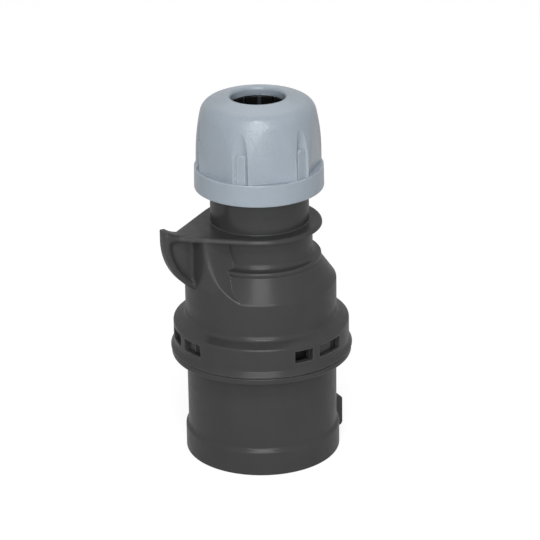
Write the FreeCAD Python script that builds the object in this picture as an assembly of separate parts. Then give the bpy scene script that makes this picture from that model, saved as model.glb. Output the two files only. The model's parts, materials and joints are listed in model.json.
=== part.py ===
import FreeCAD, Part
import math
import os
from FreeCAD import Vector

# Five-pole industrial power plug, 16 A size, in millimetres.
# It stands on its mouth: the origin is the centre of the mouth plane and +Z runs up to the cable.
# The hand hook points along -X, the polarising key along +X, the lock windows along -Y and +Y.

# Clearances
parting_gap = 0.2
turning_gap = 0.3
sliding_gap = 0.25
seat_gap = 0.1
pin_gap = 0.05
seal_gap = 0.15
cutting_margin = 1.0

# Edge roundings
fine_rounding = 0.3
edge_rounding = 0.5
soft_rounding = 0.8

# Rear housing
body_radius = 27.4
body_length = 13.0
housing_wall = 2.6
cone_height = 8.1
cone_rounding = 1.2
ring_overhang = 4.5
ring_wall = 1.9
ring_lip = 1.1
ring_lip_edge = 0.6
ring_lip_flare = 1.7
ring_top_rise = 2.3
ring_fillet = 2.2
ring_ceiling = 1.5
skirt_wall = 1.6
neck_radius = 17.7
neck_length = 28.7
neck_wall = 3.1
neck_fillet = 0.3
thread_depth = 0.9
groove_step = 1.2
groove_height = 10.8
groove_fillet = 2.4
groove_top_fillet = 0.8
lip_step = 3.1
lip_height = 1.8
lip_overhang = 0.3
lip_rounding = 0.7
throat_rounding = 2.0
throat_step = 2.0
seal_depth = 19.5
seat_thickness = 2.5
seat_ledge = 2.1

# Hand flange and hook
hand_flange_overhang = 4.7
hand_flange_thickness = 1.8
hand_flange_top_rounding = 1.3
hand_flange_bottom_rounding = 0.4
hook_reach = 11.3
hook_height = 2.2
hook_arc_radius = 22.6
hook_sweep = 61.2
hook_valley = 8.5
hook_apex_gap = 1.8
rim_width = 5.0
rim_thickness = 2.0
rim_rounding = 0.8
web_thickness = 2.0
web_fillet = 1.4
cheek_arc_radius = 23.6
cheek_half_width = 8.4
cheek_rounding = 0.7

# Front shroud
shroud_length = 40.3
shroud_wall = 2.95
shroud_inset = 0.15
band_height = 9.2
band_step = 1.0
flange_thickness = 2.5
flange_inset = 0.3
sleeve_wall = 2.3
key_rise = 3.95
key_width = 6.0
key_start = 0.4
key_end = 12.6
key_rounding = 1.6

# Bayonet between the shroud and the rear housing, angles in degrees from +X
twist_travel = 7.0
lug_height = 0.6
window_rise = 4.4
window_height = 4.4
window_play = 0.5
bayonet_windows = [(160.5, 177.5), (182.5, 199.5), (283.0, 304.0)]
lock_window = (264.5, 277.5)
fold_angles = (0.0, 180.0)

# Contacts and their carrier
shelf_rise = 3.5
carrier_boss = 3.0
carrier_flange = 4.0
carrier_block_height = 14.0
chamber_gap = 3.0
tongue_thickness = 0.6
tongue_root = 2.0
tunnel_radius = 3.0
pin_circle = 14.6
pin_radius = 2.5
earth_radius = 3.5
pin_tip = 8.5
earth_tip = 6.0
tip_roundness = 0.8
pin_shoulder = 0.3
barrel_seat = 5.0
barrel_step = 1.5
wire_radius = 2.3
earth_wire_radius = 2.7
wire_depth = 12.0
screw_radius = 2.0
screw_reach = 0.6
screw_head_radius = 2.7
screw_head_height = 2.6
screw_slot = 0.8
screw_from_top = 6.0
housing_seal_height = 1.3
housing_seal_width = 2.0
pole_angles = {
    "earth_pin": 0.0,
    "phase_pin_1": 72.0,
    "phase_pin_2": 144.0,
    "phase_pin_3": 216.0,
    "neutral_pin": 288.0,
}

# Cable gland
cable_radius = 9.7
cable_play = 0.2
nut_gap = 12.7
nut_wall = 4.49
nut_band_step = 0.76
nut_band_draft = 0.15
nut_band_height = 8.05
nut_height = 33.9
nut_flat_depth = 1.75
nut_wall_upright = 2.45
nut_wall_arc = 84.0
nut_wall_lean = 11.7
nut_top_slope = 16.0
nut_shoulder_radius = 5.4
nut_hole_roll = 1.3
nut_crown = 3.6
flute_count = 6
flute_phase = 46.0
flute_radius = 3.6
flute_depth = 1.5
flute_tab_width = 3.2
flute_tab_height = 10.6
flute_tab_depth = 0.8
flute_tab_roundness = 0.45
cable_seal_length = 9.0
cable_seal_lip = 0.7
cable_seal_lips = 3
lip_crest = 0.4
cage_ring_height = 3.0
cage_wall = 2.2
cage_tip_wall = 1.4
cage_bend = 3.0
cage_fingers = 12
cage_slot = 1.3
cage_bead = 0.85
cage_bead_height = 1.2
cage_bead_rise = 1.6
cage_bead_slope = 0.3
nut_lip_rise = 0.7
cage_keys = 4
cage_key_phase = 45.0
cage_key_width = 3.0
cage_key_depth = 0.95

# Radii that follow from the sizes above
chamber_radius = body_radius - housing_wall
skirt_radius = chamber_radius + skirt_wall
block_radius = chamber_radius - chamber_gap
ring_radius = body_radius + ring_overhang
ring_lip_radius = ring_radius + ring_lip
ring_bore = ring_radius - ring_wall
sleeve_radius = ring_bore - turning_gap
sleeve_bore = sleeve_radius - sleeve_wall
lug_radius = sleeve_radius + lug_height
shroud_radius = body_radius - shroud_inset
mouth_radius = shroud_radius + band_step
mouth_bore = shroud_radius - shroud_wall
key_radius = mouth_radius + key_rise
neck_bore = neck_radius - neck_wall
thread_root = neck_radius - thread_depth
groove_radius = neck_radius + groove_step
throat_radius = groove_radius - housing_wall
lip_radius = groove_radius + lip_step
hand_flange_radius = neck_radius + hand_flange_overhang
hook_tip_radius = body_radius + hook_reach
seat_hole_radius = cable_radius + seat_ledge
nut_bore = neck_radius + sliding_gap
nut_radius = nut_bore + nut_wall
nut_band_radius = nut_radius + nut_band_step
cage_radius = neck_bore - sliding_gap
cage_tip_bore = cable_radius + cable_play
cage_tip_radius = cage_tip_bore + cage_tip_wall

# Heights that follow, from the mouth up to the cable
ring_bottom = shroud_length + parting_gap
window_bottom = ring_bottom + window_rise
window_top = window_bottom + window_height
ring_inside = window_top + parting_gap
ring_top = ring_inside + ring_ceiling
sleeve_top = ring_inside - parting_gap
shelf = ring_bottom + shelf_rise
mouth_depth = shelf - carrier_boss
carrier_flange_top = shelf + carrier_flange
barrel_bottom = mouth_depth + barrel_seat
block_top = carrier_flange_top + carrier_block_height
screw_height = block_top - screw_from_top
skirt_bottom = carrier_flange_top + housing_seal_height + seal_gap
body_bottom = ring_top + ring_top_rise
cone_bottom = body_bottom + body_length
cone_top = cone_bottom + cone_height
lip_top = cone_top + lip_height
hand_flange_bottom = lip_top + groove_height
hand_flange_top = hand_flange_bottom + hand_flange_thickness
neck_top = hand_flange_top + neck_length
seat_top = neck_top - seal_depth
cable_seal_top = seat_top + cable_seal_length
cage_bottom = cable_seal_top + seat_gap
bead_bottom = neck_top + cage_bead_rise
bead_top = bead_bottom + cage_bead_height
nut_bottom = hand_flange_top + nut_gap
nut_top = nut_bottom + nut_height
nut_ceiling = nut_top - nut_crown
nut_wall_bottom = nut_bottom + nut_band_height

origin = Vector(0, 0, 0)
up = Vector(0, 0, 1)


def tangent_arc(before, corner, after, radius):
    """Start, middle and end of an arc of this radius laid into a corner."""
    back = (before - corner).normalize()
    ahead = (after - corner).normalize()
    half = back.getAngle(ahead) / 2
    reach = radius / math.tan(half)
    inward = (back + ahead).normalize()
    middle = corner + inward * (radius / math.sin(half) - radius)
    return corner + back * reach, middle, corner + ahead * reach


def outline(corners):
    """Closed wire in the XZ plane through (x, z) corners; (x, z, radius) rounds that corner."""
    points = [Vector(corner[0], 0, corner[1]) for corner in corners]
    bends = []
    for index, corner in enumerate(corners):
        point = points[index]
        if len(corner) == 3:
            following = points[(index + 1) % len(points)]
            bends.append(tangent_arc(points[index - 1], point, following, corner[2]))
        else:
            bends.append((point, point, point))
    edges = []
    for index, (start, middle, end) in enumerate(bends):
        left = bends[index - 1][2]
        if left.distanceToPoint(start) > 1e-6:
            edges.append(Part.makeLine(left, start))
        if start.distanceToPoint(end) > 1e-6:
            edges.append(Part.Arc(start, middle, end).toShape())
    return Part.Wire(edges)


def turned(corners):
    """Solid of revolution about Z."""
    return Part.Face(outline(corners)).revolve(origin, up, 360)


def sector(inner, outer, bottom, top, start, end):
    """Part of a ring between two angles in degrees."""
    section = Part.Face(outline([(inner, bottom), (outer, bottom), (outer, top), (inner, top)]))
    piece = section.revolve(origin, up, end - start)
    piece.rotate(origin, up, start)
    return piece


def plate(corners, width):
    """Outline in the XZ plane, given an even thickness about Y = 0."""
    piece = Part.Face(outline(corners)).extrude(Vector(0, width, 0))
    piece.translate(Vector(0, -width / 2, 0))
    return piece


def side_edges(piece, root):
    """Edges of a plate's two flat sides that stand clear of its root at this X."""
    return [edge for edge in piece.Edges
            if edge.BoundBox.YLength < 1e-6 and edge.BoundBox.XMin > root + 1e-3]


def turned_to(piece, angle):
    """Copy of a piece, turned about Z."""
    copy = piece.copy()
    copy.rotate(origin, up, angle)
    return copy


def each_window():
    """Every bayonet window of the ring, on both of its halves."""
    return [(start + fold, end + fold) for fold in fold_angles for start, end in bayonet_windows]


def each_lock():
    """Every lock window of the ring."""
    return [(lock_window[0] + fold, lock_window[1] + fold) for fold in fold_angles]


def key_angles():
    """Places of the clamp cage's keys round the neck."""
    return [cage_key_phase + index * 360 / cage_keys for index in range(cage_keys)]


def front_shroud():
    """Plug shroud with its mouth band, key, flange and bayonet sleeve."""
    flange_bottom = shroud_length - flange_thickness
    flange_radius = ring_lip_radius - flange_inset
    body = turned([
        (mouth_bore, 0, edge_rounding),
        (mouth_radius, 0, edge_rounding),
        (mouth_radius, band_height, band_step),
        (shroud_radius, band_height + band_step, soft_rounding),
        (shroud_radius, flange_bottom, soft_rounding),
        (flange_radius, flange_bottom, soft_rounding),
        (flange_radius, shroud_length, edge_rounding),
        (sleeve_radius, shroud_length),
        (sleeve_radius, sleeve_top, fine_rounding),
        (sleeve_bore, sleeve_top, fine_rounding),
        (sleeve_bore, shelf),
        (mouth_bore, shelf),
    ])
    key_root = shroud_radius - shroud_wall / 2
    key = plate([
        (key_root, key_start),
        (key_radius, key_start, key_rounding),
        (key_radius, key_end, key_rounding),
        (key_root, key_end),
    ], key_width)
    key = key.makeFillet(edge_rounding, side_edges(key, key_root))
    lugs = []
    for start, end in each_window():
        lug_end = end - twist_travel - window_play
        lugs.append(sector(sleeve_radius - sleeve_wall / 2, lug_radius, window_bottom + turning_gap,
                           window_top - turning_gap, start + window_play, lug_end))
    gaps = []
    for start, end in each_lock():
        gaps.append(sector(sleeve_bore - cutting_margin, sleeve_radius + cutting_margin, shelf,
                           sleeve_top + cutting_margin, start, end))
    return body.fuse([key] + lugs).cut(gaps).removeSplitter()


def pin_radius_of(name):
    """Radius of a contact's plug pin."""
    return earth_radius if name == "earth_pin" else pin_radius


def wire_radius_of(name):
    """Radius of the wire hole in a contact's barrel."""
    return earth_wire_radius if name == "earth_pin" else wire_radius


def barrel_radius_of(name):
    """Radius of a contact's terminal barrel."""
    return pin_radius_of(name) + barrel_step


def contact_carrier():
    """Insulating carrier plate: a stepped hole for each contact, and two lock tongues."""
    body = turned([
        (0, mouth_depth),
        (mouth_bore - turning_gap, mouth_depth, edge_rounding),
        (mouth_bore - turning_gap, shelf),
        (sleeve_bore - turning_gap, shelf),
        (sleeve_bore - turning_gap, carrier_flange_top, fine_rounding),
        (0, carrier_flange_top),
    ])
    holes = []
    for name, angle in pole_angles.items():
        barrel = barrel_radius_of(name) + pin_gap
        shank = pin_radius_of(name) + pin_shoulder + pin_gap
        seat = Part.makeCylinder(barrel, carrier_flange_top - barrel_bottom + cutting_margin,
                                 Vector(pin_circle, 0, barrel_bottom))
        hole = Part.makeCylinder(shank, barrel_seat + 2 * cutting_margin,
                                 Vector(pin_circle, 0, mouth_depth - cutting_margin))
        holes.append(turned_to(seat.fuse(hole), angle))
    tongues = []
    tongue_radius = sleeve_bore + tongue_thickness
    for start, end in each_lock():
        tongues.append(sector(sleeve_bore - tongue_root, tongue_radius, shelf + turning_gap,
                              carrier_flange_top, start + window_play, end - window_play))
    return body.cut(holes).fuse(tongues).removeSplitter()


def terminal_block():
    """Block on the carrier plate: a bore for each terminal barrel, and a screw bay open to the side."""
    body = turned([
        (0, carrier_flange_top),
        (block_radius, carrier_flange_top),
        (block_radius, block_top, soft_rounding),
        (0, block_top),
    ])
    holes = []
    for name, angle in pole_angles.items():
        barrel = barrel_radius_of(name) + pin_gap
        bore = Part.makeCylinder(barrel, carrier_block_height + 2 * cutting_margin,
                                 Vector(pin_circle, 0, carrier_flange_top - cutting_margin))
        tunnel = Part.makeCylinder(tunnel_radius, block_radius, Vector(pin_circle, 0, screw_height),
                                   Vector(1, 0, 0))
        bay = Part.makeBox(block_radius, 2 * tunnel_radius, screw_from_top + cutting_margin,
                           Vector(pin_circle, -tunnel_radius, screw_height))
        holes.append(turned_to(bore.fuse([tunnel, bay]), angle))
    return body.cut(holes).removeSplitter()


def contact_pin(name):
    """Turned brass contact: plug pin below, terminal barrel with a wire hole above."""
    radius = pin_radius_of(name)
    barrel = barrel_radius_of(name)
    wire = wire_radius_of(name)
    tip = earth_tip if name == "earth_pin" else pin_tip
    floor = block_top - wire_depth
    pin = turned([
        (0, tip),
        (radius, tip, radius * tip_roundness),
        (radius, mouth_depth),
        (radius + pin_shoulder, mouth_depth),
        (radius + pin_shoulder, barrel_bottom),
        (barrel, barrel_bottom, fine_rounding),
        (barrel, block_top, fine_rounding),
        (wire, block_top, fine_rounding),
        (wire, floor),
        (0, floor - wire / 2),
    ])
    pin = pin.cut(Part.makeCylinder(screw_radius, barrel * 2, Vector(0, 0, screw_height), Vector(1, 0, 0)))
    pin.translate(Vector(pin_circle, 0, 0))
    return turned_to(pin, pole_angles[name])


def terminal_screw(name):
    """Slotted clamping screw that enters the barrel from the side."""
    barrel = barrel_radius_of(name)
    shank_end = wire_radius_of(name) - screw_reach
    head_base = barrel + seat_gap
    head_top = head_base + screw_head_height
    shank = screw_radius - pin_gap
    screw = turned([
        (0, shank_end),
        (shank, shank_end, fine_rounding),
        (shank, head_base),
        (screw_head_radius, head_base, fine_rounding),
        (screw_head_radius, head_top, edge_rounding),
        (0, head_top),
    ])
    slot = Part.makeBox(screw_slot, 4 * screw_head_radius, screw_head_height,
                        Vector(-screw_slot / 2, -2 * screw_head_radius, head_top - screw_head_height / 2))
    screw = screw.cut(slot)
    screw.rotate(origin, Vector(0, 1, 0), 90)
    screw.translate(Vector(pin_circle, 0, screw_height))
    return turned_to(screw, pole_angles[name])


def terminal_screws():
    """The five clamping screws."""
    return Part.makeCompound([terminal_screw(name) for name in pole_angles])


def housing_seal():
    """Flat rubber ring between the carrier's flange and the rear housing's skirt."""
    outer = sleeve_bore - turning_gap
    inner = outer - housing_seal_width
    top = carrier_flange_top + housing_seal_height
    return turned([
        (inner, carrier_flange_top, fine_rounding),
        (outer, carrier_flange_top, fine_rounding),
        (outer, top, edge_rounding),
        (inner, top, edge_rounding),
    ])


def housing_outside():
    """Turned outer form of the rear housing, still solid inside."""
    disc_radius = (neck_radius + neck_fillet + hand_flange_radius - hand_flange_top_rounding) / 2
    return turned([
        (0, ring_bottom),
        (ring_lip_radius, ring_bottom, fine_rounding / 2),
        (ring_lip_radius, ring_bottom + ring_lip_edge, fine_rounding),
        (ring_radius, ring_bottom + ring_lip_edge + ring_lip_flare, edge_rounding),
        (ring_radius, ring_top, soft_rounding),
        (body_radius, body_bottom, ring_fillet),
        (body_radius, cone_bottom, cone_rounding),
        (lip_radius - lip_overhang, cone_top, lip_overhang),
        (lip_radius, cone_top + lip_overhang, lip_overhang),
        (lip_radius, lip_top, lip_rounding),
        (groove_radius, lip_top, groove_fillet),
        (groove_radius, hand_flange_bottom, groove_top_fillet),
        (disc_radius, hand_flange_bottom),
        (disc_radius, hand_flange_top),
        (neck_radius, hand_flange_top, neck_fillet),
        (neck_radius, nut_bottom + thread_depth),
        (thread_root, nut_bottom + 2 * thread_depth),
        (thread_root, neck_top, edge_rounding),
        (0, neck_top),
    ])


def cheeks():
    """Block under the hook: flanks that sweep out as arcs until they meet the round body."""
    middle = cheek_half_width + cheek_arc_radius
    foot = hand_flange_bottom - cheek_arc_radius
    bend = cheek_arc_radius * math.sqrt(0.5)
    right_arc = Part.Arc(
        Vector(0, cheek_half_width, hand_flange_bottom),
        Vector(0, middle - bend, hand_flange_bottom - bend),
        Vector(0, middle, foot),
    ).toShape()
    left_arc = right_arc.mirror(origin, Vector(0, 1, 0))
    lid = Part.makeLine(Vector(0, -cheek_half_width, hand_flange_bottom),
                        Vector(0, cheek_half_width, hand_flange_bottom))
    base = Part.makeLine(Vector(0, -middle, foot), Vector(0, middle, foot))
    section = Part.Face(Part.Wire(Part.__sortEdges__([lid, right_arc, base, left_arc])))
    block = section.extrude(Vector(-2 * body_radius, 0, 0))
    room = Part.makeCylinder(body_radius, hand_flange_bottom - body_bottom, Vector(0, 0, body_bottom))
    block = block.common(room)
    flank_edges = []
    for edge in block.Edges:
        box = edge.BoundBox
        if min(box.XLength, box.YLength, box.ZLength) > cheek_rounding:
            flank_edges.append(edge)
    return block.makeFillet(cheek_rounding, flank_edges)


def hook_outer(radius):
    """Outer hook line from the wall up: an arc that ends upright."""
    centre = Vector(hook_arc_radius - hook_tip_radius, 0, hand_flange_bottom)
    drop = math.radians(hook_sweep)
    middle = drop / 2
    low = centre + Vector(-radius * math.cos(drop), 0, -radius * math.sin(drop))
    half = centre + Vector(-radius * math.cos(middle), 0, -radius * math.sin(middle))
    high = centre + Vector(-radius, 0, 0)
    return Part.Arc(low, half, high).toShape(), low, high


def hook_rim():
    """Curved rim of the hook, with its tip above the hand flange."""
    outer_arc, outer_low, outer_high = hook_outer(hook_arc_radius)
    inner_arc, inner_low, inner_high = hook_outer(hook_arc_radius - rim_thickness)
    tip_top = hand_flange_top + hook_height
    outer_tip = Vector(outer_high.x, 0, tip_top)
    inner_tip = Vector(inner_high.x, 0, tip_top)
    valley = Vector(outer_high.x + hook_valley, 0, hand_flange_top)
    run = hook_valley - rim_thickness
    ramp_radius = (run ** 2 + hook_height ** 2) / (2 * hook_height)
    ramp_half = math.asin(run / ramp_radius) / 2
    ramp_middle = valley + Vector(-math.sin(ramp_half), 0, 1 - math.cos(ramp_half)) * ramp_radius
    ramp = Part.Arc(inner_tip, ramp_middle, valley).toShape()
    valley_low = Vector(valley.x, 0, hand_flange_bottom)
    root_outer = Vector(-throat_radius, 0, outer_low.z)
    root_inner = Vector(-throat_radius, 0, inner_low.z)
    edges = [
        Part.makeLine(root_outer, outer_low),
        outer_arc,
        Part.makeLine(outer_high, outer_tip),
        Part.makeLine(outer_tip, inner_tip),
        ramp,
        Part.makeLine(valley, valley_low),
        Part.makeLine(valley_low, inner_high),
        inner_arc,
        Part.makeLine(inner_low, root_inner),
        Part.makeLine(root_inner, root_outer),
    ]
    face = Part.Face(Part.Wire(Part.__sortEdges__(edges)))
    rim = face.extrude(Vector(0, rim_width, 0))
    rim.translate(Vector(0, -rim_width / 2, 0))
    outer_edges = [edge for edge in rim.Edges
                   if edge.BoundBox.YLength < 1e-6 and edge.BoundBox.XMin < 1e-3 - hook_tip_radius
                   and edge.BoundBox.ZLength > rim_thickness]
    return rim.makeFillet(rim_rounding, outer_edges)


def hook_web():
    """Thin web that ties the rim to the body."""
    arc, low, high = hook_outer(hook_arc_radius - rim_thickness / 2)
    root_low = Vector(-throat_radius, 0, low.z)
    root_high = Vector(-throat_radius, 0, high.z)
    side = Part.Face(Part.Wire(Part.__sortEdges__([
        Part.makeLine(root_low, low),
        arc,
        Part.makeLine(high, root_high),
        Part.makeLine(root_high, root_low),
    ])))
    slab = side.extrude(Vector(0, web_thickness, 0))
    slab.translate(Vector(0, -web_thickness / 2, 0))
    return slab


def hook():
    """Hook rim and web, with a fillet along the inside of the rim."""
    body = hook_rim().fuse(hook_web()).removeSplitter()
    half = web_thickness / 2
    corners = [edge for edge in body.Edges
               if edge.BoundBox.YLength < 1e-6 and abs(abs(edge.CenterOfMass.y) - half) < 1e-6
               and edge.Curve.TypeId == "Part::GeomCircle"]
    return body.makeFillet(web_fillet, corners)


def hand_flange():
    """Drop-shaped flange round the neck, drawn out to the hook."""
    apex = hook_tip_radius - hook_apex_gap
    half_angle = math.asin(hand_flange_radius / apex)
    touch_x = -hand_flange_radius * math.sin(half_angle)
    touch_y = hand_flange_radius * math.cos(half_angle)
    right = Vector(touch_x, touch_y, hand_flange_bottom)
    left = Vector(touch_x, -touch_y, hand_flange_bottom)
    far = Vector(hand_flange_radius, 0, hand_flange_bottom)
    tip = Vector(-apex, 0, hand_flange_bottom)
    edges = [
        Part.Arc(left, far, right).toShape(),
        Part.makeLine(right, tip),
        Part.makeLine(tip, left),
    ]
    flange = Part.Face(Part.Wire(edges)).extrude(Vector(0, 0, hand_flange_thickness))
    top_edges = [edge for edge in flange.Edges if edge.BoundBox.ZMin > hand_flange_top - 1e-3]
    flange = flange.makeFillet(hand_flange_top_rounding, top_edges)
    bottom_edges = [edge for edge in flange.Edges if edge.BoundBox.ZMax < hand_flange_bottom + 1e-3]
    return flange.makeFillet(hand_flange_bottom_rounding, bottom_edges)


def housing_inside():
    """Hollow of the rear housing: bayonet ring, wiring chamber, throat, seat hole and gland bore."""
    seat_bottom = seat_top - seat_thickness
    return turned([
        (0, ring_bottom - cutting_margin),
        (ring_bore, ring_bottom - cutting_margin),
        (ring_bore, ring_inside),
        (skirt_radius, ring_inside),
        (skirt_radius, skirt_bottom),
        (chamber_radius, skirt_bottom),
        (chamber_radius, cone_bottom - housing_wall / 2, cone_rounding),
        (throat_radius, cone_top + housing_wall / 2, throat_rounding),
        (throat_radius, hand_flange_bottom),
        (neck_bore, hand_flange_bottom + throat_step),
        (neck_bore, seat_bottom),
        (seat_hole_radius, seat_bottom + seat_thickness / 2),
        (seat_hole_radius, seat_top),
        (neck_bore, seat_top),
        (neck_bore, neck_top + cutting_margin),
        (0, neck_top + cutting_margin),
    ])


def rear_housing():
    """Rear housing: bayonet ring, body, hand hook and gland neck, moulded in one piece."""
    body = housing_outside().fuse([cheeks(), hook(), hand_flange()]).removeSplitter()
    body = body.cut(housing_inside())
    cuts = []
    window_inner = ring_bore - cutting_margin
    window_outer = ring_radius + cutting_margin
    for start, end in each_window() + each_lock():
        cuts.append(sector(window_inner, window_outer, window_bottom, window_top, start, end))
    for start, end in each_window():
        cuts.append(sector(window_inner, lug_radius + turning_gap, ring_bottom - cutting_margin,
                           window_bottom + cutting_margin, end - twist_travel - window_play, end))
    slot_depth = cage_radius + cage_key_depth + sliding_gap
    slot_width = cage_key_width + 2 * sliding_gap
    for angle in key_angles():
        slot = Part.makeBox(slot_depth, slot_width, neck_top - cable_seal_top + cutting_margin,
                            Vector(0, -slot_width / 2, cable_seal_top))
        cuts.append(turned_to(slot, angle))
    return body.cut(cuts).removeSplitter()


def cable_seal():
    """Rubber cable seal with inner lips, seated in the neck."""
    outer = neck_bore - pin_gap
    lip_bore = cable_radius + cable_play
    pitch = cable_seal_length / cable_seal_lips
    flank = pitch * (1 - lip_crest) / 2
    corners = [(outer, cable_seal_top, edge_rounding), (outer, seat_top, edge_rounding)]
    for index in range(cable_seal_lips):
        start = seat_top + index * pitch
        corners.append((lip_bore + cable_seal_lip, start))
        corners.append((lip_bore, start + flank))
        corners.append((lip_bore, start + pitch - flank))
    corners.append((lip_bore + cable_seal_lip, cable_seal_top))
    return turned(corners)


def clamp_cage():
    """Cage of spring fingers that grips the cable: its bead hangs in the nut, its keys run in the neck."""
    inner = cage_radius - cage_wall
    tip = nut_ceiling - seat_gap - sliding_gap
    body = turned([
        (inner, cage_bottom, fine_rounding),
        (cage_radius, cage_bottom, fine_rounding),
        (cage_radius, bead_bottom),
        (cage_radius + cage_bead, bead_bottom, fine_rounding),
        (cage_radius + cage_bead, bead_top, fine_rounding),
        (cage_radius, bead_top + cage_bead_slope),
        (cage_tip_radius, tip, fine_rounding),
        (cage_tip_bore, tip, fine_rounding),
        (inner, neck_top, cage_bend),
    ])
    slots = []
    for index in range(cage_fingers):
        slot = Part.makeBox(2 * cage_radius, cage_slot, nut_top - cage_bottom,
                            Vector(0, -cage_slot / 2, cage_bottom + cage_ring_height))
        slots.append(turned_to(slot, index * 360 / cage_fingers))
    body = body.cut(slots)
    keys = []
    for angle in key_angles():
        key = Part.makeBox(cage_wall / 2 + cage_key_depth, cage_key_width, cage_ring_height,
                           Vector(cage_radius - cage_wall / 2, -cage_key_width / 2, cage_bottom))
        keys.append(turned_to(key, angle))
    return body.fuse(keys).removeSplitter()


def nut_flutes():
    """Grip flutes: upright round grooves that run out where the dome leans in."""
    floor = nut_radius - flute_depth
    tab_top = nut_wall_bottom + flute_tab_height
    flute = Part.makeCylinder(flute_radius, nut_height, Vector(floor + flute_radius, 0, nut_wall_bottom))
    tab = Part.makeBox(2 * flute_tab_depth, flute_tab_width, flute_tab_height,
                       Vector(floor - flute_tab_depth, -flute_tab_width / 2, nut_wall_bottom))
    top_corners = [edge for edge in tab.Edges
                   if edge.BoundBox.ZMin > tab_top - 1e-3 and edge.BoundBox.YLength < 1e-6]
    tab = tab.makeFillet(flute_tab_width * flute_tab_roundness, top_corners)
    flute = flute.cut(tab)
    return [turned_to(flute, flute_phase + index * 360 / flute_count) for index in range(flute_count)]


def nut_flats():
    """Spanner flats between the flutes: upright cuts that run out where the dome leans in."""
    flat = nut_radius - nut_flat_depth
    panel = Part.makeBox(nut_radius, 2 * nut_radius, nut_height,
                         Vector(flat, -nut_radius, nut_wall_bottom))
    phase = flute_phase + 180 / flute_count
    return [turned_to(panel, phase + index * 360 / flute_count) for index in range(flute_count)]


def gland_nut():
    """Gland nut: grip band, leaning wall with flats and flutes, rolled cable hole, press cone inside."""
    lean = math.radians(nut_wall_lean)
    slope = math.radians(nut_top_slope)
    wall_corner = nut_wall_bottom + nut_wall_upright + nut_wall_arc * math.tan(lean / 2)
    crest = nut_top + nut_hole_roll * math.tan(slope) / 2
    run = nut_radius - cable_radius
    fall = run * math.tan(slope)
    rise = (crest - wall_corner - fall) / (math.cos(lean) - math.sin(lean) * math.tan(slope))
    shoulder = (nut_radius - rise * math.sin(lean), wall_corner + rise * math.cos(lean))
    cone_start = cage_radius + sliding_gap
    groove_floor = cone_start + cage_bead
    groove_top = bead_top + sliding_gap
    groove_bottom = bead_bottom - sliding_gap
    lip_bottom = neck_top + nut_lip_rise
    body = turned([
        (nut_bore, nut_bottom, fine_rounding),
        (nut_band_radius, nut_bottom, edge_rounding),
        (nut_band_radius - nut_band_draft, nut_wall_bottom, fine_rounding),
        (nut_radius, nut_wall_bottom),
        (nut_radius, wall_corner, nut_wall_arc),
        (shoulder[0], shoulder[1], nut_shoulder_radius),
        (cable_radius, crest, nut_hole_roll),
        (cable_radius, nut_ceiling),
        (cage_tip_radius + sliding_gap, nut_ceiling),
        (cone_start, groove_top + cage_bead_slope),
        (groove_floor, groove_top),
        (groove_floor, groove_bottom),
        (cone_start, groove_bottom),
        (cone_start, lip_bottom),
        (nut_bore, lip_bottom),
    ])
    return body.cut(nut_flats() + nut_flutes()).removeSplitter()


pieces = {
    "front_shroud": front_shroud(),
    "contact_carrier": contact_carrier(),
    "terminal_block": terminal_block(),
    "terminal_screws": terminal_screws(),
    "housing_seal": housing_seal(),
    "rear_housing": rear_housing(),
    "cable_seal": cable_seal(),
    "clamp_cage": clamp_cage(),
    "gland_nut": gland_nut(),
}
for pole in pole_angles:
    pieces[pole] = contact_pin(pole)

os.makedirs("parts", exist_ok=True)
for name, shape in pieces.items():
    shape.exportStep("parts/" + name + ".step")
    print(name, shape.isValid(), len(shape.Solids), round(shape.Volume))
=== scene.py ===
import json
import math

import bpy
from mathutils import Matrix, Vector


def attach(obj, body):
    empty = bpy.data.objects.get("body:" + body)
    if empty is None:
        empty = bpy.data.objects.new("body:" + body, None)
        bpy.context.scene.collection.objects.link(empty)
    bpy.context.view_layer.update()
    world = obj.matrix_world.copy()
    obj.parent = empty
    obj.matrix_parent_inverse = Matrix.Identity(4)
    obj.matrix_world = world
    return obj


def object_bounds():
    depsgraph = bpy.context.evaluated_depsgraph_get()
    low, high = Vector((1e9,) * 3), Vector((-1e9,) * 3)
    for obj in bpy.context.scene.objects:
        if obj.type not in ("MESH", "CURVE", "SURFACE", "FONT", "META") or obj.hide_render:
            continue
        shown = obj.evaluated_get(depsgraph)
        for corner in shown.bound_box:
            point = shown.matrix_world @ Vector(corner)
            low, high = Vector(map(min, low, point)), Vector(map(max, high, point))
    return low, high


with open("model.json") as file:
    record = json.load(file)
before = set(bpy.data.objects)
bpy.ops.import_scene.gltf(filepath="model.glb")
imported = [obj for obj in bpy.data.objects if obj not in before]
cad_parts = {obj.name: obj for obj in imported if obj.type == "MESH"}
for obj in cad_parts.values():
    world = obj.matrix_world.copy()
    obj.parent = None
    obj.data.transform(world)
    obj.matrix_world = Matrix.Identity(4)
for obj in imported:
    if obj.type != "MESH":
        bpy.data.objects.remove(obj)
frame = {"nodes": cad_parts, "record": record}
cad_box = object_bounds()

# Sizes in metres, in the frame of the plug: mouth at Z = 0, hook along -X
mm = 0.001
plug_middle = Vector((0.0, 0.0, cad_box[1][2] / 2))

# Camera of the photograph, in a frame that looks along +Y, turned about Z into the plug's frame
view_turn = math.radians(-27.5)
camera_place = Vector((3.603, -847.79, 418.82)) * mm
camera_aim = Vector((3.603, 0.0, 68.44)) * mm
camera_roll = -0.014
camera_focal_pixels = 2542.46
camera_sensor = 36.0
camera_near = 10.0 * mm
photo_pixels = 540
half_pixel = 0.5 / photo_pixels

# Soft box lights: places from the camera's side, width and height in metres, power in watts
key_place = Vector((0.0, -0.746, 1.13))
key_size = (0.50, 0.25)
key_power = 5.0
front_place = Vector((0.0, -1.13, 0.48))
front_size = (0.9, 0.9)
front_power = 9.5
back_place = Vector((0.0, 0.72, 1.2))
back_size = (0.9, 0.9)
back_power = 3.5

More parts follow.
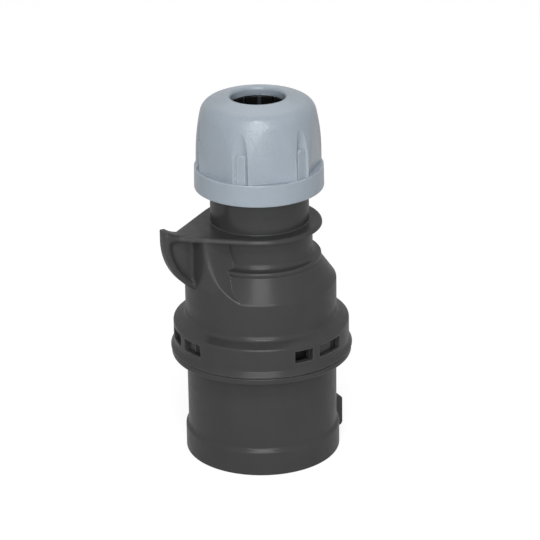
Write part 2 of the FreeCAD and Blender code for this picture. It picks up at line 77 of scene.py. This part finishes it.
# White floor and surround: how much light they give back, and how bright they are to the camera
floor_width = 6.0
floor_drop = 0.05 * mm
floor_bounce = 0.50
floor_shaded = 0.36
floor_glow = 0.80
surround_light = 0.18
surround_seen = 1.0

# Gland thread, with ridges that sink a little into the neck and the nut they belong to
neck_radius = 17.7 * mm
neck_thread_depth = 0.9 * mm
nut_play = 0.25 * mm
thread_sink = 0.1 * mm
thread_pitch = 3.0 * mm
thread_run_out = 12.0 * mm
thread_root_width = 2.0 * mm
thread_crest_width = 0.8 * mm
thread_steps = 72
thread_smooth_angle = math.radians(30)
seam_width = 0.0001 * mm
neck_thread_height = 0.8 * mm
neck_thread_root = neck_radius - neck_thread_depth - thread_sink
neck_thread_crest = neck_thread_root + neck_thread_height
neck_thread_start = 104.2 * mm
neck_thread_turns = 4
nut_thread_height = 0.9 * mm
nut_thread_root = neck_radius + nut_play + thread_sink
nut_thread_crest = nut_thread_root - nut_thread_height
nut_thread_start = neck_thread_start + thread_pitch / 2
nut_thread_turns = 3

# From here to the functions, sizes are in millimetres, as the finishes measure them, and angles in radians

# Moulded plastic: grain, flow clouds, speckle and patches of gloss, with their share of the change
grain_width = 0.45
nut_grain_width = 0.8
cloud_width = 9.0
cloud_stretch = (1.0, 1.0, 2.0)
cloud_share = 0.7
speckle_width = 0.5
speckle_share = 0.3
gloss_width = 3.0
gloss_change = 0.05
skin_ior = 2.2

# Rubbed edges, glossier and paler as a painted highlight: how deep they reach, how open an edge is where
# rubbing starts and is full, and its patches
rub_depth = 0.6
rub_starts = 0.97
rub_full = 0.7
rub_patch_width = 1.6
rub_patch_least = 0.35
rub_polish = 0.12
rub_samples = 4

# Rounding of the edges of each finish
edge_samples = 6
carrier_edge = 0.2
cage_edge = 0.15
metal_edge = 0.1
body_edge = 0.45

# Softer edges of the hook, which starts this far out and this high up
hook_edge = 2.6
hook_start = 23.0
hook_foot = 68.0
hook_fade = 2.0

# How far, and to what colour, painted light pales the hook, lifting the shade in its recess, and painted
# shade darkens the inside of the nut
hook_painted_light = 0.35
hook_painted_light_colour = (0.062, 0.062, 0.0625)
nut_painted_shade = 0.8
nut_painted_shade_colour = (0.05, 0.055, 0.06)

# Flutes of the gland nut: where the first one is, the angle between two, half the width of one, its fade
flute_phase = math.radians(46)
flute_step = math.radians(60)
flute_edge = math.radians(8.5)
flute_fade = math.radians(2)

# Wall of the gland nut: height of its foot and its shoulder, and the arc along which it leans in
nut_wall_foot = 112.0
nut_wall_top = 129.0
nut_wall_arc = 84.0
nut_foot_fade = 4.0
nut_top_fade = 2.0

# Inside of the gland nut, below its cable hole
nut_inside_radius = 15.5
nut_inside_top = 130.0
nut_inside_fade = 1.0

# Edges of the nut, those of its flats, which run on over the shoulder, and how far the flats are crowned
nut_edge = 0.4
nut_flat_edge = 2.8
nut_shoulder_rise = 4.0
nut_flat_crown = 0.6

# Noise lies mostly between these values
noise_low = 0.3
noise_high = 0.7


def deselect_all():
    """Clear the selection, in object mode."""
    bpy.ops.object.select_all(action="DESELECT")


# Node helpers

def new_material(name):
    """Material with a Principled shader, and object coordinates measured in millimetres."""
    material = bpy.data.materials.new(name)
    material.use_nodes = True
    tree = material.node_tree
    shader = tree.nodes["Principled BSDF"]
    place = tree.nodes.new("ShaderNodeTexCoord")
    scale = tree.nodes.new("ShaderNodeVectorMath")
    scale.operation = "SCALE"
    scale.inputs["Scale"].default_value = 1 / mm
    tree.links.new(place.outputs["Object"], scale.inputs[0])
    return material, tree, shader, scale.outputs[0]


def coordinates(tree, place):
    """X, Y and Z of a place."""
    parts = tree.nodes.new("ShaderNodeSeparateXYZ")
    tree.links.new(place, parts.inputs[0])
    return parts.outputs


def from_axis(tree, parts):
    """Way from the plug's axis to a place at the same height."""
    way = tree.nodes.new("ShaderNodeCombineXYZ")
    tree.links.new(parts["X"], way.inputs["X"])
    tree.links.new(parts["Y"], way.inputs["Y"])
    return way.outputs[0]


def calculate(tree, operation, *values):
    """Result of one operation on values that are numbers or come from other nodes."""
    step = tree.nodes.new("ShaderNodeMath")
    step.operation = operation
    for socket, value in zip(step.inputs, values):
        if isinstance(value, float):
            socket.default_value = value
        else:
            tree.links.new(value, socket)
    return step.outputs[0]


def noise(tree, place, width, detail=3.0, stretch=(1.0, 1.0, 1.0)):
    """Noise whose features are about this many millimetres across."""
    mapping = tree.nodes.new("ShaderNodeMapping")
    mapping.inputs["Scale"].default_value = [1 / (width * part) for part in stretch]
    texture = tree.nodes.new("ShaderNodeTexNoise")
    texture.inputs["Scale"].default_value = 1.0
    texture.inputs["Detail"].default_value = detail
    tree.links.new(place, mapping.inputs["Vector"])
    tree.links.new(mapping.outputs["Vector"], texture.inputs["Vector"])
    return texture.outputs["Fac"]


def spread(tree, value, low, high, first, last):
    """Value that goes from first to last as the input goes from low to high, and stops at both ends."""
    change = tree.nodes.new("ShaderNodeMapRange")
    change.inputs["From Min"].default_value = low
    change.inputs["From Max"].default_value = high
    change.inputs["To Min"].default_value = first
    change.inputs["To Max"].default_value = last
    tree.links.new(value, change.inputs["Value"])
    return change.outputs["Result"]


def ramp(tree, value, low, high):
    """Stretch noise onto low to high."""
    return spread(tree, value, noise_low, noise_high, low, high)


def blend_colour(tree, factor, first, second):
    """Colour that goes from the first to the second as the factor rises."""
    mix = tree.nodes.new("ShaderNodeMix")
    mix.data_type = "RGBA"
    for socket, colour in ((mix.inputs[6], first), (mix.inputs[7], second)):
        if isinstance(colour, tuple):
            socket.default_value = (*colour, 1.0)
        else:
            tree.links.new(colour, socket)
    tree.links.new(factor, mix.inputs[0])
    return mix.outputs[2]


def unit_vector(tree, vector):
    """A vector made one unit long."""
    unit = tree.nodes.new("ShaderNodeVectorMath")
    unit.operation = "NORMALIZE"
    tree.links.new(vector, unit.inputs[0])
    return unit.outputs[0]


def blend_normals(tree, factor, first, second):
    """Normal that goes from the first to the second as the factor rises."""
    mix = tree.nodes.new("ShaderNodeMix")
    mix.data_type = "VECTOR"
    tree.links.new(factor, mix.inputs[0])
    tree.links.new(first, mix.inputs[4])
    tree.links.new(second, mix.inputs[5])
    return unit_vector(tree, mix.outputs[1])


def soft_edges(tree, radius):
    """Normal that rounds every edge by this many millimetres."""
    bevel = tree.nodes.new("ShaderNodeBevel")
    bevel.samples = edge_samples
    bevel.inputs["Radius"].default_value = radius * mm
    return bevel.outputs["Normal"]


def relief(tree, height, depth, normal=None):
    """Bump of this depth in millimetres, laid over another normal."""
    bump = tree.nodes.new("ShaderNodeBump")
    bump.inputs["Strength"].default_value = 1.0
    bump.inputs["Distance"].default_value = depth * mm
    tree.links.new(height, bump.inputs["Height"])
    if normal is not None:
        tree.links.new(normal, bump.inputs["Normal"])
    return bump.outputs["Normal"]


# Moulded plastics

def rubbed_and_painted_highlit_edges(tree, place):
    """0 on open faces, up to 1 in patches along outer edges, where rubbing makes the grain glossier and
    the colour is paled as a painted highlight.
    """
    thin = tree.nodes.new("ShaderNodeAmbientOcclusion")
    thin.inside = True
    thin.only_local = True
    thin.samples = rub_samples
    thin.inputs["Distance"].default_value = rub_depth * mm
    rub_and_painted_highlight = spread(tree, thin.outputs["AO"], rub_starts, rub_full, 0.0, 1.0)
    patches = ramp(tree, noise(tree, place, rub_patch_width), rub_patch_least, 1.0)
    return calculate(tree, "MULTIPLY", rub_and_painted_highlight, patches)


def moulded_plastic(name, dark, light, worn_and_painted_highlight, roughness, shine):
    """Moulded plastic with faint flow clouds, a fine speckle, and rubbed edges that are glossier and paler
    as a painted highlight.
    """
    material, tree, shader, place = new_material(name)
    shader.inputs["Specular IOR Level"].default_value = shine
    clouds = noise(tree, place, cloud_width, detail=2.0, stretch=cloud_stretch)
    speckle = noise(tree, place, speckle_width, detail=2.0)
    drift = ramp(tree, clouds, 0.0, cloud_share)
    shade = calculate(tree, "ADD", drift, ramp(tree, speckle, 0.0, speckle_share))
    fresh = blend_colour(tree, shade, dark, light)
    rub_and_painted_highlight = rubbed_and_painted_highlit_edges(tree, place)
    # Painted highlight: outer edges paled towards a lighter colour; their rubbing also makes them glossier
    # below
    tree.links.new(blend_colour(tree, rub_and_painted_highlight, fresh, worn_and_painted_highlight), shader.inputs["Base Color"])
    patches = noise(tree, place, gloss_width, detail=4.0)
    gloss = ramp(tree, patches, roughness - gloss_change, roughness + gloss_change)
    smoother = calculate(tree, "MULTIPLY_ADD", rub_and_painted_highlight, -rub_polish, gloss)
    tree.links.new(smoother, shader.inputs["Roughness"])
    return material, tree, shader, place


def grained(tree, shader, place, rounded, depth, width=grain_width):
    """Fine eroded grain of this depth and width in millimetres, over a normal with rounded edges."""
    normal = relief(tree, noise(tree, place, width), depth, rounded)
    tree.links.new(normal, shader.inputs["Normal"])
    tree.links.new(normal, shader.inputs["Coat Normal"])


def polished_skin(shader, weight, roughness):
    """Thin glossier skin that the mould leaves on plastic, strongest where a lamp glints."""
    shader.inputs["Coat Weight"].default_value = weight
    shader.inputs["Coat Roughness"].default_value = roughness
    shader.inputs["Coat IOR"].default_value = skin_ior


def paint_light_and_shade(tree, shader, factor, colour):
    """Lay painted light and shade over a finish: another colour, as far as the factor goes."""
    fresh = shader.inputs["Base Color"].links[0].from_socket
    tree.links.new(blend_colour(tree, factor, fresh, colour), shader.inputs["Base Color"])


def body_plastic():
    """Dark grey satin plastic of the shroud and the rear housing, softer on the hook and paler there with
    painted light.
    """
    material, tree, shader, place = moulded_plastic(
        "body_plastic", dark=(0.038, 0.038, 0.0385), light=(0.045, 0.045, 0.0455),
        worn_and_painted_highlight=(0.070, 0.070, 0.0705), roughness=0.50, shine=0.05)
    parts = coordinates(tree, place)
    far_out = spread(tree, parts["X"], -hook_start, -hook_start - hook_fade, 0.0, 1.0)
    above_body = spread(tree, parts["Z"], hook_foot, hook_foot + hook_fade, 0.0, 1.0)
    on_hook = calculate(tree, "MULTIPLY", far_out, above_body)
    # Painted light: the hook is paled to lift the shade that falls in its recess
    painted_light_on_hook = calculate(tree, "MULTIPLY", on_hook, hook_painted_light)
    paint_light_and_shade(tree, shader, painted_light_on_hook, hook_painted_light_colour)
    rounded = blend_normals(tree, on_hook, soft_edges(tree, body_edge), soft_edges(tree, hook_edge))
    grained(tree, shader, place, rounded, depth=0.022)
    polished_skin(shader, weight=0.115, roughness=0.22)
    return material


def between_flutes(tree, parts, top):
    """1 on the nut's wall between the flutes, from above its foot up to the top, and 0 elsewhere."""
    turn = calculate(tree, "ARCTAN2", parts["Y"], parts["X"])
    from_first = calculate(tree, "SUBTRACT", turn, flute_phase)
    from_nearest = calculate(tree, "PINGPONG", from_first, flute_step / 2)
    clear = spread(tree, from_nearest, flute_edge, flute_edge + flute_fade, 0.0, 1.0)
    above = spread(tree, parts["Z"], nut_wall_foot, nut_wall_foot + nut_foot_fade, 0.0, 1.0)
    below = spread(tree, parts["Z"], top - nut_top_fade, top, 1.0, 0.0)
    return calculate(tree, "MULTIPLY", clear, calculate(tree, "MULTIPLY", above, below))


def round_wall(tree, parts):
    """Normal of the nut's wall as if it had no flats, leaning in more and more with height."""
    full_lean = (nut_wall_top - nut_wall_foot) / nut_wall_arc
    lean = spread(tree, parts["Z"], nut_wall_foot, nut_wall_top, 0.0, full_lean)
    lift = tree.nodes.new("ShaderNodeCombineXYZ")
    tree.links.new(lean, lift.inputs["Z"])
    leaning = tree.nodes.new("ShaderNodeVectorMath")
    tree.links.new(unit_vector(tree, from_axis(tree, parts)), leaning.inputs[0])
    tree.links.new(lift.outputs[0], leaning.inputs[1])
    facing = tree.nodes.new("ShaderNodeVectorTransform")
    facing.vector_type = "NORMAL"
    facing.convert_from = "OBJECT"
    facing.convert_to = "WORLD"
    tree.links.new(leaning.outputs[0], facing.inputs[0])
    return facing.outputs[0]


def nut_rounding(tree, place):
    """Normal of the nut: crisp at flutes and band, with crowned flats that blend into the dome."""
    parts = coordinates(tree, place)
    softened = between_flutes(tree, parts, nut_wall_top + nut_shoulder_rise)
    soft = blend_normals(tree, softened, soft_edges(tree, nut_edge), soft_edges(tree, nut_flat_edge))
    crowned = calculate(tree, "MULTIPLY", between_flutes(tree, parts, nut_wall_top), nut_flat_crown)
    return blend_normals(tree, crowned, soft, round_wall(tree, parts))


def inside_nut(tree, place):
    """1 inside the gland nut, below its cable hole, and 0 on its outside."""
    parts = coordinates(tree, place)
    radius = tree.nodes.new("ShaderNodeVectorMath")
    radius.operation = "LENGTH"
    tree.links.new(from_axis(tree, parts), radius.inputs[0])
    wall = nut_inside_radius + nut_inside_fade
    within = spread(tree, radius.outputs["Value"], nut_inside_radius, wall, 1.0, 0.0)
    below = spread(tree, parts["Z"], nut_inside_top, nut_inside_top + nut_inside_fade, 1.0, 0.0)
    return calculate(tree, "MULTIPLY", within, below)


def nut_plastic():
    """Blue-grey satin plastic of the gland nut, with a coarser grain and painted shade inside."""
    material, tree, shader, place = moulded_plastic(
        "nut_plastic", dark=(0.30, 0.35, 0.405), light=(0.33, 0.385, 0.44),
        worn_and_painted_highlight=(0.44, 0.49, 0.54), roughness=0.45, shine=0.15)
    # Painted shade: the inside of the nut is darkened where it shows through the cage's slots
    painted_shade_inside = calculate(tree, "MULTIPLY", inside_nut(tree, place), nut_painted_shade)
    paint_light_and_shade(tree, shader, painted_shade_inside, nut_painted_shade_colour)
    grained(tree, shader, place, nut_rounding(tree, place), depth=0.13, width=nut_grain_width)
    polished_skin(shader, weight=0.31, roughness=0.25)
    return material


def carrier_plastic():
    """Black plastic of the contact carrier and the terminal block."""
    material, tree, shader, place = moulded_plastic(
        "carrier_plastic", dark=(0.0025, 0.0025, 0.0027), light=(0.004, 0.004, 0.0043),
        worn_and_painted_highlight=(0.006, 0.006, 0.0062), roughness=0.45, shine=0.2)
    grained(tree, shader, place, soft_edges(tree, carrier_edge), depth=0.010)
    return material


def cage_plastic():
    """Black plastic of the clamp cage."""
    material, tree, shader, place = moulded_plastic(
        "cage_plastic", dark=(0.005, 0.005, 0.005), light=(0.008, 0.008, 0.008),
        worn_and_painted_highlight=(0.012, 0.012, 0.012), roughness=0.40, shine=0.3)
    grained(tree, shader, place, soft_edges(tree, cage_edge), depth=0.008)
    return material


# Rubber and metals

def patchy_material(name, dark, light, width, detail):
    """Material whose colour drifts between two shades, in patches of about this many millimetres."""
    material, tree, shader, place = new_material(name)
    patches = ramp(tree, noise(tree, place, width, detail), 0.0, 1.0)
    tree.links.new(blend_colour(tree, patches, dark, light), shader.inputs["Base Color"])
    return material, tree, shader, place


def seal_rubber():
    """Matt black rubber with a dusty bloom."""
    material, tree, shader, place = patchy_material(
        "seal_rubber", dark=(0.008, 0.008, 0.008), light=(0.020, 0.020, 0.019), width=4.0, detail=5.0)
    gloss = ramp(tree, noise(tree, place, width=1.2), low=0.65, high=0.8)
    tree.links.new(gloss, shader.inputs["Roughness"])
    normal = relief(tree, noise(tree, place, width=0.3), depth=0.015)
    tree.links.new(normal, shader.inputs["Normal"])
    return material


def pin_brass():
    """Turned brass: fine rings round the pin and a faint tarnish."""
    material, tree, shader, place = patchy_material(
        "pin_brass", dark=(0.60, 0.44, 0.19), light=(0.72, 0.56, 0.29), width=2.5, detail=4.0)
    shader.inputs["Metallic"].default_value = 1.0
    rings = noise(tree, place, width=0.12, detail=2.0, stretch=(60.0, 60.0, 1.0))
    tree.links.new(ramp(tree, rings, low=0.22, high=0.36), shader.inputs["Roughness"])
    normal = relief(tree, rings, depth=0.006, normal=soft_edges(tree, metal_edge))
    tree.links.new(normal, shader.inputs["Normal"])
    return material


def screw_steel():
    """Zinc-plated steel of the terminal screws."""
    material, tree, shader, place = patchy_material(
        "screw_steel", dark=(0.42, 0.43, 0.46), light=(0.58, 0.58, 0.57), width=0.9, detail=5.0)
    shader.inputs["Metallic"].default_value = 1.0
    gloss = ramp(tree, noise(tree, place, width=0.4), low=0.25, high=0.4)
    tree.links.new(gloss, shader.inputs["Roughness"])
    grain = noise(tree, place, width=0.2, detail=2.0)
    normal = relief(tree, grain, depth=0.004, normal=soft_edges(tree, metal_edge))
    tree.links.new(normal, shader.inputs["Normal"])
    return material


finishes = {
    "body_plastic": body_plastic(),
    "nut_plastic": nut_plastic(),
    "carrier_plastic": carrier_plastic(),
    "cage_plastic": cage_plastic(),
    "seal_rubber": seal_rubber(),
    "pin_brass": pin_brass(),
    "screw_steel": screw_steel(),
}


def finish_nodes():
    """Give every CAD node the finish of its slot."""
    for row in frame["record"]["subparts"]:
        node = frame["nodes"][row["node"]]
        node.data.materials.clear()
        node.data.materials.append(finishes[row["material_slot"]])


# Gland thread

def select_points(piece, wanted):
    """In edit mode, select the points of a mesh that pass a test."""
    bpy.ops.mesh.select_all(action="DESELECT")
    bpy.ops.object.mode_set(mode="OBJECT")
    for point in piece.data.vertices:
        point.select = wanted(point.co)
    bpy.ops.object.mode_set(mode="EDIT")


def thread_section(name, root, crest, start):
    """Outline of a thread's trapezium section, beside the axis, with its narrow side at the crest."""
    deselect_all()
    bpy.ops.mesh.primitive_plane_add(size=1.0)
    section = bpy.context.active_object
    section.name = name
    section.data.name = name
    crest_inside = crest < root
    bpy.ops.object.mode_set(mode="EDIT")
    bpy.ops.mesh.select_mode(type="VERT")
    bpy.ops.transform.resize(value=(abs(crest - root), thread_root_width, 1.0))
    select_points(section, lambda point: (point.x < 0) == crest_inside)
    bpy.ops.transform.resize(value=(1.0, thread_crest_width / thread_root_width, 1.0))
    bpy.ops.mesh.select_all(action="SELECT")
    bpy.ops.mesh.delete(type="ONLY_FACE")
    bpy.ops.object.mode_set(mode="OBJECT")
    section.rotation_euler = (math.pi / 2, 0.0, 0.0)
    section.location = ((root + crest) / 2, 0.0, start)
    bpy.ops.object.transform_apply(location=True, rotation=True, scale=True)
    return section


def thread_ridge(name, root, crest, start, turns):
    """Helical ridge of a right-hand thread, screwed round Z, that runs out at both ends."""
    ridge = thread_section(name, root, crest, start)
    screw = ridge.modifiers.new("thread", "SCREW")
    screw.axis = "Z"
    screw.angle = 2 * math.pi
    screw.screw_offset = thread_pitch
    screw.iterations = turns
    screw.steps = thread_steps
    screw.render_steps = thread_steps
    bpy.ops.object.modifier_apply(modifier=screw.name)
    bpy.ops.object.mode_set(mode="EDIT")
    for end in (start, start + turns * thread_pitch):
        bottom = end - thread_pitch / 2
        top = end + thread_pitch / 2
        select_points(ridge, lambda point: (abs(point.y) < seam_width < point.x
                                            and bottom < point.z < top))
        bpy.ops.transform.translate(value=(root - crest, 0.0, 0.0), use_proportional_edit=True,
                                    use_proportional_connected=True, proportional_edit_falloff="SMOOTH",
                                    proportional_size=thread_run_out)
    bpy.ops.mesh.select_all(action="SELECT")
    bpy.ops.mesh.fill_holes(sides=0)
    bpy.ops.mesh.select_all(action="SELECT")
    bpy.ops.mesh.normals_make_consistent(inside=False)
    bpy.ops.object.mode_set(mode="OBJECT")
    bpy.ops.object.shade_smooth_by_angle(angle=thread_smooth_angle)
    return ridge


def gland_threads():
    """Thread ridge on the neck, and the matching one inside the nut."""
    neck_thread = thread_ridge("neck_thread", neck_thread_root, neck_thread_crest, neck_thread_start,
                               neck_thread_turns)
    neck_thread.data.materials.append(finishes["body_plastic"])
    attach(neck_thread, "rear")
    nut_thread = thread_ridge("nut_thread", nut_thread_root, nut_thread_crest, nut_thread_start,
                              nut_thread_turns)
    nut_thread.data.materials.append(finishes["nut_plastic"])
    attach(nut_thread, "nut")


# Stage

def seen_plainly(tree):
    """1 for what the camera sees directly, in gloss or through glass, and 0 for soft bounced light."""
    rays = tree.nodes.new("ShaderNodeLightPath").outputs
    direct = calculate(tree, "MAXIMUM", rays["Is Camera Ray"], rays["Is Glossy Ray"])
    return calculate(tree, "MAXIMUM", direct, rays["Is Transmission Ray"])


def matt_grey(tree, brightness):
    """Matt shader of one even grey."""
    matt = tree.nodes.new("ShaderNodeBsdfDiffuse")
    matt.inputs["Color"].default_value = (brightness, brightness, brightness, 1.0)
    return matt.outputs[0]


def white_floor():
    """Pale floor that is white to the camera and keeps a faint shadow."""
    deselect_all()
    bpy.ops.mesh.primitive_plane_add(size=floor_width, location=(0.0, 0.0, -floor_drop))
    floor = bpy.context.active_object
    floor.name = "floor"
    material = bpy.data.materials.new("floor_white")
    material.use_nodes = True
    tree = material.node_tree
    tree.nodes.clear()
    glow = tree.nodes.new("ShaderNodeEmission")
    glow.inputs["Strength"].default_value = floor_glow
    white = tree.nodes.new("ShaderNodeAddShader")
    tree.links.new(matt_grey(tree, floor_shaded), white.inputs[0])
    tree.links.new(glow.outputs[0], white.inputs[1])
    mix = tree.nodes.new("ShaderNodeMixShader")
    tree.links.new(seen_plainly(tree), mix.inputs[0])
    tree.links.new(matt_grey(tree, floor_bounce), mix.inputs[1])
    tree.links.new(white.outputs[0], mix.inputs[2])
    output = tree.nodes.new("ShaderNodeOutputMaterial")
    tree.links.new(mix.outputs[0], output.inputs["Surface"])
    floor.data.materials.append(material)


def studio_world():
    """Even white surround: plain light on the plug, white behind it."""
    world = bpy.data.worlds.new("studio")
    bpy.context.scene.world = world
    world.use_nodes = True
    tree = world.node_tree
    background = tree.nodes["Background"]
    background.inputs["Color"].default_value = (1.0, 1.0, 1.0, 1.0)
    strength = spread(tree, seen_plainly(tree), 0.0, 1.0, surround_light, surround_seen)
    tree.links.new(strength, background.inputs["Strength"])


def to_plug_frame(place):
    """A place seen from the camera's side, turned into the plug's frame."""
    return Matrix.Rotation(view_turn, 3, "Z") @ place


def soft_box(name, place, size, power):
    """Soft box light at a place given from the camera's side, aimed at the middle of the plug."""
    lamp = bpy.data.lights.new(name, "AREA")
    lamp.shape = "RECTANGLE"
    lamp.size, lamp.size_y = size
    lamp.energy = power
    light = bpy.data.objects.new(name, lamp)
    bpy.context.scene.collection.objects.link(light)
    light.location = to_plug_frame(place)
    direction = plug_middle - light.location
    light.rotation_euler = direction.to_track_quat("-Z", "Y").to_euler()


def photo_camera():
    """Camera where the photograph was taken from."""
    lens = bpy.data.cameras.new("photo_camera")
    lens.sensor_width = camera_sensor
    lens.lens = camera_focal_pixels / photo_pixels * camera_sensor
    lens.shift_x = -half_pixel
    lens.shift_y = half_pixel
    lens.clip_start = camera_near
    camera = bpy.data.objects.new("photo_camera", lens)
    bpy.context.scene.collection.objects.link(camera)
    place = to_plug_frame(camera_place)
    ahead = (to_plug_frame(camera_aim) - place).normalized()
    level_right = ahead.cross(Vector((0.0, 0.0, 1.0))).normalized()
    level_up = level_right.cross(ahead)
    right = level_right * math.cos(camera_roll) + level_up * math.sin(camera_roll)
    above = right.cross(ahead)
    turn = Matrix((right, above, -ahead)).transposed()
    camera.matrix_world = Matrix.Translation(place) @ turn.to_4x4()
    bpy.context.scene.camera = camera


deselect_all()
finish_nodes()
gland_threads()
white_floor()
studio_world()
soft_box("key_light", key_place, key_size, key_power)
soft_box("front_light", front_place, front_size, front_power)
soft_box("back_light", back_place, back_size, back_power)
photo_camera()
bpy.context.scene.view_settings.view_transform = "Standard"
